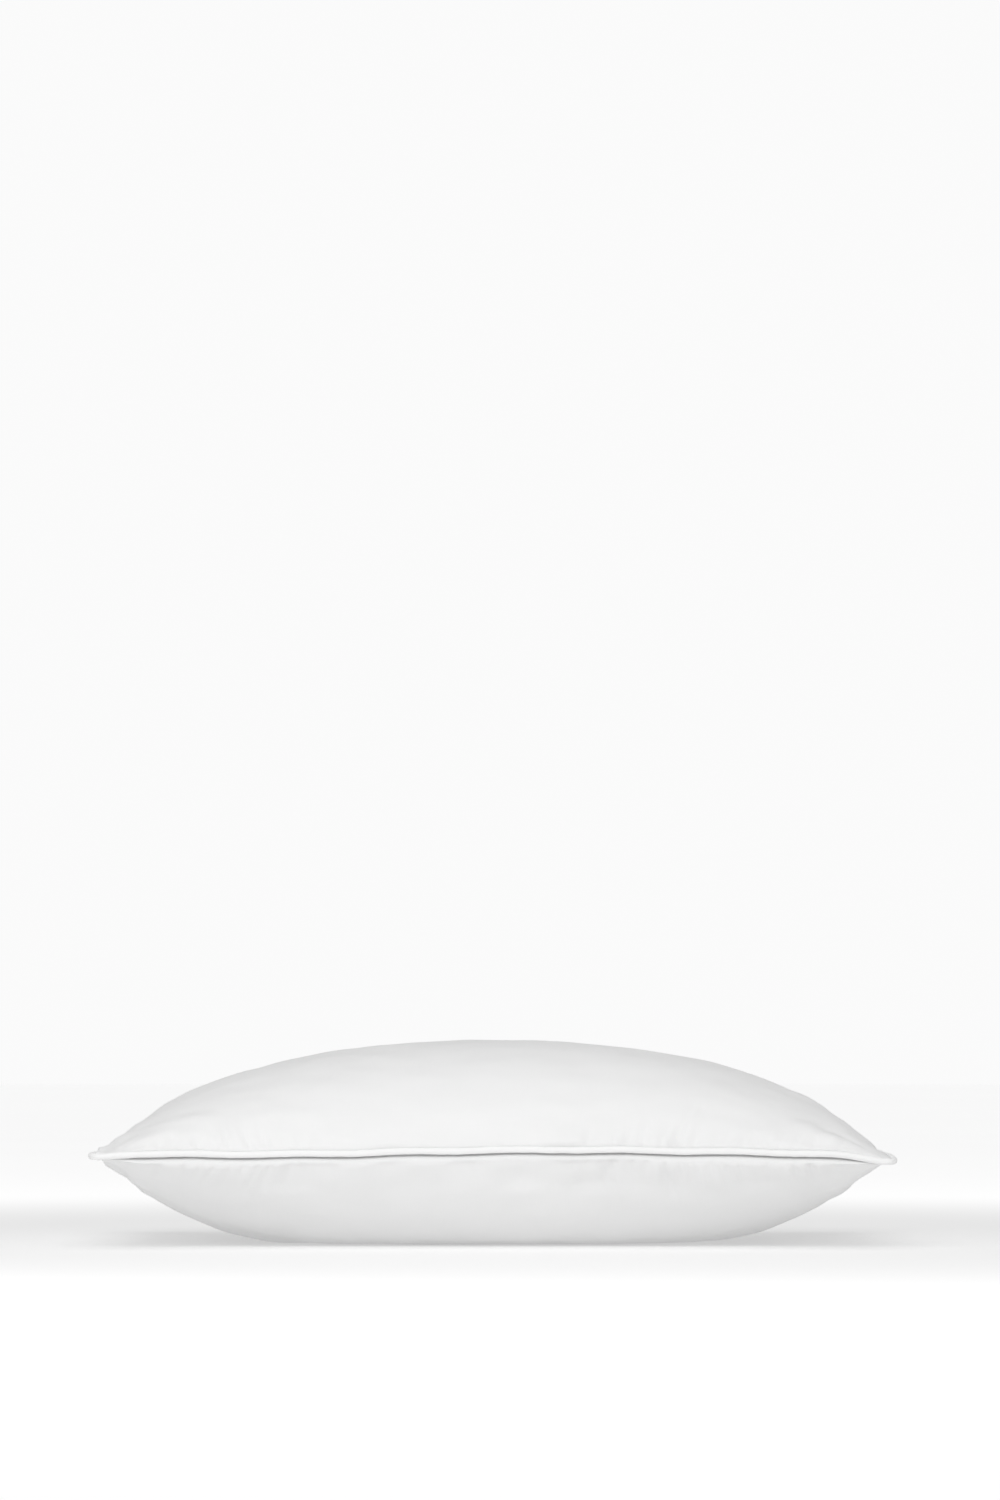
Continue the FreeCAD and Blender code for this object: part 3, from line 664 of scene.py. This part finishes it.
def piping_section():
    """The folded bias strip's section round the cord: (outward, up), and places across the strip."""
    bore, slit = PIPING_RADIUS - PIPING_CLOTH, PIPING_SLIT
    lap = np.linspace(RAW_EDGE, 0, LAP_POINTS)

    def round_part(radius, half, count):
        start = math.pi - math.asin(half / radius)
        angles = np.linspace(start, -start, count)
        return np.stack([PIPING_OUT + radius * np.cos(angles), radius * np.sin(angles)], axis=-1)

    def straight_part(height):
        return np.stack([lap, np.full(len(lap), height)], axis=-1)

    rounded = round_part(PIPING_RADIUS, FLANGE, ROUND_POINTS)
    outside = [straight_part(FLANGE), rounded, straight_part(-FLANGE)[::-1]]
    rounded = round_part(bore, slit, BORE_POINTS)[::-1]
    inside = [straight_part(-slit), rounded, straight_part(slit)[::-1]]
    across = run_along(np.concatenate(outside))
    back = np.linspace(across[-1], 0, len(np.concatenate(inside)))
    return np.concatenate(outside + inside), np.concatenate([across, back])


def piping_cover(name):
    """The bias strip folded over the cord, with slight crumples in its round part."""
    line = seam_line(PIPING_STATIONS)
    section, across = piping_section()
    random = np.random.default_rng(PIPING_SEED)
    noise = random.normal(0, 1, (len(line), len(section)))
    crumple = blurred(noise, PIPING_CRUMPLE_CELLS, "wrap")
    crumple *= PIPING_CRUMPLE / crumple.std()
    crumpled = range(LAP_POINTS + 1, LAP_POINTS + ROUND_POINTS - 1)
    points = []
    for number, (out, up) in enumerate(section):
        moved = from_seam_line(line, out, up)
        if number in crumpled:
            away = np.array([out - PIPING_OUT, up]) / PIPING_RADIUS
            swell = crumple[:, number]
            moved += outward_of(line) * (away[0] * swell)[:, None]
            moved[:, 2] += away[1] * swell
        points.append(moved)
    points = np.stack(points, axis=1)
    index = wrapped(wrapped(numbers(0, *points.shape[:2]), 0), 1)
    around = np.linspace(0, 2 * (FLAT_LENGTH + FLAT_WIDTH), len(line), endpoint=False)
    flat = np.stack(np.broadcast_arrays(around[:, None], across), -1)
    return add_object(name, points.reshape(-1, 3), quads(index), flat.reshape(-1, 2))


def piping_cord(name):
    """Three cotton strands twisted into a closed loop."""
    line = seam_line(CORD_STATIONS)
    middle, outward = from_seam_line(line, PIPING_OUT, 0), outward_of(line)
    paths = []
    for strand in range(3):
        angle = 2 * math.pi * (CORD_TURNS * np.arange(len(line)) / len(line) + strand / 3)
        path = middle + outward * (np.cos(angle) * STRAND_AWAY)[:, None]
        path[:, 2] += np.sin(angle) * STRAND_AWAY
        paths.append(path)
    return add_tubes(name, paths, CORD_RADIUS - STRAND_AWAY - CORD_CLEARANCE, STRAND_SIDES, closed=True)


def down_fill(name, panels):
    """The loose filling as one soft lumpy mass just inside the casing."""
    random = np.random.default_rng(FILL_SEED)
    inside = slice(FILL_EDGE, -FILL_EDGE, 2)
    grids = []
    for side, points in zip((1, -1), panels):
        inner = points[inside, inside]
        lumps = blurred(random.normal(0, 1, inner.shape[:2]), FILL_LUMP_CELLS)
        lumps = np.clip(lumps / lumps.std(), -2, 2) * FILL_LUMP
        normals = grid_normals(points, side)[inside, inside]
        grids.append(inner - normals * (FILL_INSET + lumps)[..., None])
    upper, lower = grids
    loops = [seam_loop(grid) for grid in grids]
    count = math.prod(upper.shape[:2])
    index = [numbers(0, *upper.shape[:2]), numbers(count, *lower.shape[:2])]
    rounds, first = [seam_loop(index[0])[None]], 2 * count
    extra = []
    for share in np.linspace(0, 1, FILL_RIM_ROWS + 2)[1:-1]:
        bulge = FILL_RIM_BULGE * math.sin(share * math.pi)
        between = loops[0] * (1 - share) + loops[1] * share
        extra.append(from_seam_line(between, bulge, 0))
        rounds.append(numbers(first, 1, len(between)))
        first += len(between)
    rounds.append(seam_loop(index[1])[None])
    rim = quads(wrapped(np.concatenate(rounds), 1))
    faces = np.concatenate([quads(index[0]), quads(index[1])[:, ::-1], rim])
    points = np.concatenate([upper.reshape(-1, 3), lower.reshape(-1, 3), *extra])
    return add_object(name, points, faces)


def near_hole(count):
    """1 where a row of stitches dips into its needle holes, 0 where its thread lies on the cloth."""
    phase = np.arange(count) % STITCH_POINTS / STITCH_POINTS
    return 1 - smooth(np.minimum(phase, 1 - phase) / NEEDLE_HOLE)


def flat_seam(name, out, layers, side, slit_open):
    """One thread of a seam through the layers, which are that thick on each side."""
    line = seam_line(round(SEAM_AROUND / STITCH) * STITCH_POINTS)
    path = from_seam_line(line, out, 0)
    rest = layers + THREAD
    path[:, 2] += side * (rest + (SEAM_DIP - rest) * near_hole(len(line)))
    if not slit_open:
        return add_tubes(name, [path], THREAD, THREAD_SIDES, closed=True)
    beside = (path[:, 0] > 0) & (np.abs(path[:, 1]) < SLIT_HALF)
    start = np.flatnonzero(beside)[-1] + 1
    path = np.roll(path, -start, axis=0)[: np.count_nonzero(~beside)]
    return add_tubes(name, [path], THREAD, THREAD_SIDES)


def closing_seam(name, points, side):
    """The seam that closes the filling slit, on the outside of a panel."""
    stitches = round(2 * SLIT_HALF / STITCH)
    y = np.linspace(-SLIT_HALF, SLIT_HALF, stitches * STITCH_POINTS + 1)
    step_x = grid_steps(*FINE)[0]
    edge, normals = points[-3:], grid_normals(points, side)[-3:]
    from_end = (1 - step_x[-3:, 0]) * FLAT_LENGTH / 2
    share = np.interp(CLOSING_INSET, from_end[::-1], [2, 1, 0])
    low, part = int(share), share - int(share)
    row, normal = (rows[low] * (1 - part) + rows[low + 1] * part for rows in (edge, normals))
    away = sampled(y, row[:, 1], normal) * (THREAD - CLOSING_DIP * near_hole(len(y)))[:, None]
    return add_tubes(name, [sampled(y, row[:, 1], row) + away], THREAD, THREAD_SIDES)


def overlock(name):
    """Thread that wraps the raw edges of all the layers, over and under in turn."""
    high = ALLOWANCE_INSIDE + CLOTH + OVERLOCK_AWAY
    edge, bite = RAW_EDGE - OVERLOCK_AWAY, RAW_EDGE + OVERLOCK_BITE
    near_edge, lower = edge + OVERLOCK_ROUNDING, high - OVERLOCK_ROUNDING
    # Half a turn: (share of the turn along the seam, outward, up). The other half mirrors it.
    over = [
        (0.00, bite, high),
        (0.12, bite - OVERLOCK_LEG, high),
        (0.26, near_edge, high),
        (0.30, edge, lower),
        (0.34, edge, -lower),
        (0.38, near_edge, -high),
    ]
    turn = over + [(0.5 + share, out, -up) for share, out, up in over]
    turns = round(SEAM_AROUND / OVERLOCK_PITCH)
    line = seam_line(turns * OVERLOCK_STATIONS)
    path = np.zeros((turns, len(turn), 3))
    for number, (share, out, up) in enumerate(turn):
        place = from_seam_line(line, out, up)
        at = (np.arange(turns) + share) * OVERLOCK_STATIONS
        below = at.astype(int)
        part = (at - below)[:, None]
        path[:, number] = place[below] * (1 - part) + place[(below + 1) % len(line)] * part
    return add_tubes(name, [path.reshape(-1, 3)], THREAD, THREAD_SIDES, closed=True)


def care_label(name):
    """A blank satin tape, folded in two, caught in the seam at the rear."""
    drop = SEAM_Z - LABEL_LOW.z
    line = seam_line(LABEL_STATIONS)
    from_middle = np.abs(line[:, 0] - (LABEL_LOW.x + LABEL_HIGH.x) / 2)
    at = np.argmin(np.where(line[:, 1] > 0, from_middle, math.inf))
    foot, outward = line[at], outward_of(line)[at]
    sideways = np.array([outward[1], -outward[0], 0])
    way = np.array([*LABEL_WAY, (LABEL_FOLD_OUT, drop - LABEL_FOLD_UP)])
    run = run_along(way)
    way = sampled(np.linspace(0, run[-1], LABEL_ROWS), run, way)
    for _ in range(3):
        way[1:-1] = (way[:-2] + 2 * way[1:-1] + way[2:]) / 4
    gap = LABEL_TIGHT + LABEL_LOOSE * smooth((way[:, 1] - LABEL_OPENS) / drop)
    ahead = np.gradient(way, axis=0)
    aside = unit(np.stack([ahead[:, 1], -ahead[:, 0]], axis=-1)) * gap[:, None]
    outer, inner = way + aside, way - aside
    turn = np.linspace(LABEL_TURN, math.pi - LABEL_TURN, 3)
    turned = way[-1] + gap[-1] * np.stack([np.cos(turn), np.sin(turn)], axis=-1)
    strip = np.concatenate([outer, turned, inner[::-1]])
    share = np.linspace(-1, 1, LABEL_COLUMNS)
    across = share * LABEL_HALF
    hang = smooth((strip[:, 1] - LABEL_HELD) / drop)[:, None]
    curl = hang * (LABEL_CURL * share**2 + LABEL_WAVE * np.sin(share * 4 + 1))
    points = foot + across[None, :, None] * sideways
    points = points + (strip[:, 0, None] + curl)[..., None] * outward
    points[..., 2] -= strip[:, 1, None]
    length = run_along(strip)
    flat = np.stack(np.broadcast_arrays(across, length[:, None]), -1)
    faces = quads(numbers(0, *points.shape[:2]))
    label = add_object(name, points.reshape(-1, 3), faces, flat.reshape(-1, 2), closed=False)
    thicken(label, LABEL_CLOTH)
    return label, length[-1]


# ---- materials


def new_material(name, sockets):
    """A material whose shader has those plain values, its nodes, and its shader's inputs."""
    material = bpy.data.materials.new(name)
    material.use_nodes = True
    nodes = material.node_tree.nodes
    inputs = nodes["Principled BSDF"].inputs
    for socket, amount in sockets.items():
        inputs[socket].default_value = amount
    return material, nodes, inputs


def link(output, socket):
    output.id_data.links.new(output, socket)


def dress(inputs, colour, roughness, normal):
    """Links a cloth's colour, roughness and relief to its shader."""
    link(colour, inputs["Base Color"])
    link(roughness, inputs["Roughness"])
    link(normal, inputs["Normal"])


def add_node(nodes, kind, properties=None, **inputs):
    """A node with those properties. An input is a value, or another node's output to link."""
    node = nodes.new(kind)
    for key, setting in (properties or {}).items():
        setattr(node, key, setting)
    for key, given in inputs.items():
        give(node.inputs[key.replace("_", " ")], given)
    return node


def give(socket, given):
    """Links the socket to another node's output, or sets its value."""
    if isinstance(given, bpy.types.NodeSocket):
        link(given, socket)
    else:
        socket.default_value = given


def math_node(nodes, operation, *given):
    node = add_node(nodes, "ShaderNodeMath", {"operation": operation})
    for socket, amount in zip(node.inputs, given):
        give(socket, amount)
    return node.outputs[0]


def product(nodes, first, second):
    return math_node(nodes, "MULTIPLY", first, second)


def total(nodes, first, second):
    return math_node(nodes, "ADD", first, second)


def ranged(nodes, amount, low, high):
    """An amount from 0 to 1, carried over to between low and high."""
    node = add_node(nodes, "ShaderNodeMapRange", Value=amount, To_Min=low, To_Max=high)
    return node.outputs[0]


def flat_places(nodes):
    return add_node(nodes, "ShaderNodeUVMap", {"uv_map": CUT_MAP}).outputs[0]


def object_places(nodes):
    return add_node(nodes, "ShaderNodeTexCoord").outputs["Object"]


def stretched_noise(nodes, place, size, detail=2.0):
    """Noise whose cells have that size, in metres, each way. 0 to 1."""
    scaled = add_node(nodes, "ShaderNodeMapping", Vector=place, Scale=[1 / s for s in size])
    given = {"Vector": scaled.outputs[0], "Scale": 1.0, "Detail": detail}
    return add_node(nodes, "ShaderNodeTexNoise", **given).outputs["Fac"]


def tint(nodes, amount, dark, light, low=0.3, high=0.7):
    ramp = add_node(nodes, "ShaderNodeValToRGB", Fac=amount)
    ramp.color_ramp.elements[0].position = low
    ramp.color_ramp.elements[0].color = (*dark, 1)
    ramp.color_ramp.elements[1].position = high
    ramp.color_ramp.elements[1].color = (*light, 1)
    return ramp.outputs[0]


def weave(nodes, place, pitch):
    """Height of a plain weave, 0 to 1, whose threads are that far apart."""
    parts = add_node(nodes, "ShaderNodeSeparateXYZ", Vector=place)
    waves = []
    for axis in (0, 1):
        waves.append(math_node(nodes, "SINE", product(nodes, parts.outputs[axis], math.pi / pitch)))
    return math_node(nodes, "MULTIPLY_ADD", product(nodes, *waves), 0.5, 0.5)


def relief(nodes, heights):
    """Bump from several heights, each 0 to 1 with its depth in metres."""
    normal = None
    for height, depth in heights:
        given = {"Height": height, "Distance": depth}
        if normal is not None:
            given["Normal"] = normal
        normal = add_node(nodes, "ShaderNodeBump", **given).outputs[0]
    return normal


def cotton(name, dark, light, pitch, turn=0.0, sheen=0.25):
    """Plain-woven white cotton: threads, slubs, soft crumples and an uneven finish."""
    sockets = {"Sheen Weight": sheen, "Sheen Roughness": 0.45, "Specular IOR Level": 0.3}
    material, nodes, inputs = new_material(name, sockets)
    given = {"Vector": flat_places(nodes), "Rotation": (0, 0, turn)}
    turned = add_node(nodes, "ShaderNodeMapping", **given).outputs[0]
    warp = stretched_noise(nodes, turned, (0.5 * MM, 24 * MM, 1))
    weft = stretched_noise(nodes, turned, (30 * MM, 0.6 * MM, 1))
    slubs = product(nodes, total(nodes, warp, weft), 0.5)
    place = object_places(nodes)
    broad = stretched_noise(nodes, place, (70 * MM,) * 3, 3.0)
    crumple = stretched_noise(nodes, place, (17 * MM,) * 3, 3.0)
    shade = total(nodes, product(nodes, slubs, 0.6), product(nodes, broad, 0.4))
    threads = weave(nodes, turned, pitch)
    normal = relief(nodes, [(crumple, 0.35 * MM), (slubs, 0.05 * MM), (threads, 0.03 * MM)])
    dress(inputs, tint(nodes, shade, dark, light), ranged(nodes, slubs, 0.62, 0.86), normal)
    return material


def twisted(name, dark, light, ply):
    """Twisted cotton yarn, whose plies cross it every ply of its length."""
    material, nodes, inputs = new_material(name, {"Sheen Weight": 0.3, "Specular IOR Level": 0.25})
    flat = flat_places(nodes)
    parts = add_node(nodes, "ShaderNodeSeparateXYZ", Vector=flat)
    slanted = total(nodes, parts.outputs[0], parts.outputs[1])
    plies = math_node(nodes, "SINE", product(nodes, slanted, 2 * math.pi / ply))
    plies = math_node(nodes, "MULTIPLY_ADD", plies, 0.5, 0.5)
    fibres = stretched_noise(nodes, flat, (ply * 2, ply / 6, 1), 4.0)
    normal = relief(nodes, [(plies, ply / 12), (fibres, ply / 30)])
    dress(inputs, tint(nodes, fibres, dark, light), ranged(nodes, fibres, 0.6, 0.9), normal)
    return material


def down(name):
    """Loose down: soft clusters with fine barbs."""
    material, nodes, inputs = new_material(name, {"Sheen Weight": 0.6, "Specular IOR Level": 0.1})
    place = object_places(nodes)
    clusters = add_node(nodes, "ShaderNodeTexVoronoi", Vector=place, Scale=1 / (14 * MM))
    clusters = clusters.outputs["Distance"]
    barbs = stretched_noise(nodes, place, (1.2 * MM, 3 * MM, 1.2 * MM), 6.0)
    soft = product(nodes, clusters, barbs)
    colour = tint(nodes, soft, (0.80, 0.79, 0.76), (0.94, 0.93, 0.90), 0.1, 0.5)
    normal = relief(nodes, [(clusters, 2.5 * MM), (barbs, 0.8 * MM)])
    dress(inputs, colour, ranged(nodes, barbs, 0.8, 1.0), normal)
    return material


def satin(name):
    """Blank white satin tape with fine ribs along it."""
    sockets = {"Sheen Weight": 0.15, "Specular IOR Level": 0.55, "Anisotropic": 0.5}
    material, nodes, inputs = new_material(name, sockets)
    threads = stretched_noise(nodes, flat_places(nodes), (0.15 * MM, 4 * MM, 1))
    colour = tint(nodes, threads, (0.86, 0.86, 0.85), (0.95, 0.95, 0.94))
    normal = relief(nodes, [(threads, 0.03 * MM)])
    dress(inputs, colour, ranged(nodes, threads, 0.28, 0.45), normal)
    return material


def studio_floor(name):
    """A pale floor that glows as painted light, more the farther it is from the pillow: its weaker glow
    near the pillow is painted shade round it.
    """
    sockets = {"Roughness": 0.9, "Specular IOR Level": 0.1, "Emission Color": (1, 1, 1, 1)}
    material, nodes, inputs = new_material(name, sockets)
    place = object_places(nodes)
    cloudy = stretched_noise(nodes, place, (1.5, 1.5, 1.5))
    link(tint(nodes, cloudy, (0.69, 0.69, 0.69), (0.71, 0.71, 0.71)), inputs["Base Color"])
    away = add_node(nodes, "ShaderNodeVectorMath", {"operation": "LENGTH"}, Vector=place)
    (near, near_glow), (far, far_glow) = NEAR_FLOOR, FAR_FLOOR
    given = {"From_Min": near, "From_Max": far, "To_Min": near_glow, "To_Max": far_glow}
    glow = add_node(nodes, "ShaderNodeMapRange", {"interpolation_type": "SMOOTHSTEP"}, **given)
    link(away.outputs["Value"], glow.inputs["Value"])
    link(glow.outputs[0], inputs["Emission Strength"])
    return material


# ---- the pillow


def finish_piece(piece, material, slot, *nodes):
    """Paints a piece, hangs it on the body, and hides the frame nodes that it stands for."""
    piece.data.materials.clear()
    piece.data.materials.append(material)
    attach(piece, BODY)
    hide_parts(*nodes)
    return piece


def build_pillow():
    cambric = cotton("white_cambric", (0.845, 0.845, 0.845), (0.875, 0.875, 0.873), 0.24 * MM)
    # The bias strip is the panels' cambric painted lighter: a painted highlight along the piping.
    turned = {"turn": math.pi / 4, "sheen": 0.35}
    bias = cotton("bias_cambric", (0.89, 0.89, 0.888), (0.92, 0.92, 0.918), 0.26 * MM, **turned)
    cord_cotton = twisted("cord_cotton", (0.80, 0.79, 0.75), (0.90, 0.89, 0.86), 2.2 * MM)
    sewing = twisted("sewing_thread", (0.88, 0.88, 0.87), (0.95, 0.95, 0.94), 0.45 * MM)

    panels = filled_panels()
    fill = down_fill("down_fill_mass", panels)
    finish_piece(fill, down("white_down"), "filling", "down_filling")
    for side, word, points in ((1, "top", panels[0]), (-1, "bottom", panels[1])):
        panel = casing_panel(f"{word}_panel_cloth", points, side)
        finish_piece(panel, cambric, "casing", f"{word}_panel")
    cover = finish_piece(piping_cover("piping_cover_cloth"), bias, "piping", "piping_cover")
    cord = piping_cord("piping_cord_cotton")
    finish_piece(cord, cord_cotton, "filler_cord", "piping_cord")

    allowance = ALLOWANCE_INSIDE + CLOTH
    for side, thread, panel in ((1, "needle", panels[0]), (-1, "bobbin", panels[1])):
        stitches = (
            ("piping_seam", flat_seam, (PIPING_SEAM, FLANGE, side, False)),
            ("assembly_seam", flat_seam, (ASSEMBLY_SEAM, allowance, side, True)),
            ("closing_seam", closing_seam, (panel, side)),
        )
        for seam, sew, how in stitches:
            piece = sew(f"{seam}_{thread}_stitches", *how)
            finish_piece(piece, sewing, "thread", f"{seam}_{thread}_thread")
    finish_piece(overlock("overlock_loops"), sewing, "thread", "overlock_thread")

    label, tape_length = care_label("care_label_tape")
    finish_piece(label, satin("white_satin_tape"), "label_tape", "care_label")


# ---- stage


def add_area_light(name, place, target, size, energy):
    light = bpy.data.lights.new(name, "AREA")
    light.shape = "RECTANGLE"
    light.size, light.size_y = size
    light.energy = energy
    lamp = bpy.data.objects.new(name, light)
    bpy.context.collection.objects.link(lamp)
    lamp.location = place
    lamp.rotation_euler = (Vector(target) - Vector(place)).to_track_quat("-Z", "Y").to_euler()


def build_world():
    """White to the camera. As light, brightest in front of and above the pillow."""
    world = bpy.data.worlds.new("studio")
    world.use_nodes = True
    bpy.context.scene.world = world
    nodes = world.node_tree.nodes
    direction = add_node(nodes, "ShaderNodeTexCoord").outputs["Generated"]
    parts = add_node(nodes, "ShaderNodeSeparateXYZ", Vector=direction)
    x, y, z = (parts.outputs[axis] for axis in range(3))
    to_front = product(nodes, y, -WORLD_FRONT)
    to_sides = product(nodes, product(nodes, x, x), -WORLD_SIDES)
    level = total(nodes, total(nodes, to_front, to_sides), product(nodes, z, WORLD_TOP))
    lit = nodes["Background"]
    lit.inputs["Color"].default_value = (1, 1, 1, 1)
    link(total(nodes, level, WORLD_LEVEL), lit.inputs["Strength"])
    seen = add_node(nodes, "ShaderNodeBackground", Color=(1, 1, 1, 1), Strength=WORLD_SEEN)
    mixed = add_node(nodes, "ShaderNodeMixShader")
    link(add_node(nodes, "ShaderNodeLightPath").outputs["Is Camera Ray"], mixed.inputs[0])
    link(lit.outputs[0], mixed.inputs[1])
    link(seen.outputs[0], mixed.inputs[2])
    link(mixed.outputs[0], nodes["World Output"].inputs["Surface"])


def build_stage():
    build_world()
    angles = np.arange(FLOOR_SIDES) * 2 * math.pi / FLOOR_SIDES
    rim = np.stack([np.cos(angles), np.sin(angles), np.zeros(FLOOR_SIDES)], axis=-1) * FLOOR_RADIUS
    floor = add_object("studio_floor", rim, [range(FLOOR_SIDES)], closed=False)
    floor.data.materials.append(studio_floor("pale_floor"))
    add_area_light(*FRONT_SOFTBOX)
    add_area_light(*TOP_SOFTBOX)


def build_camera():
    data = bpy.data.cameras.new("camera")
    data.lens = LENS
    camera = bpy.data.objects.new("camera", data)
    bpy.context.collection.objects.link(camera)
    camera.location = EYE
    camera.rotation_euler = (math.pi / 2 + math.radians(PITCH_UP), 0, 0)
    data.clip_end = 200
    scene = bpy.context.scene
    scene.camera = camera
    scene.view_settings.view_transform = "Standard"


build_pillow()
build_stage()
build_camera()
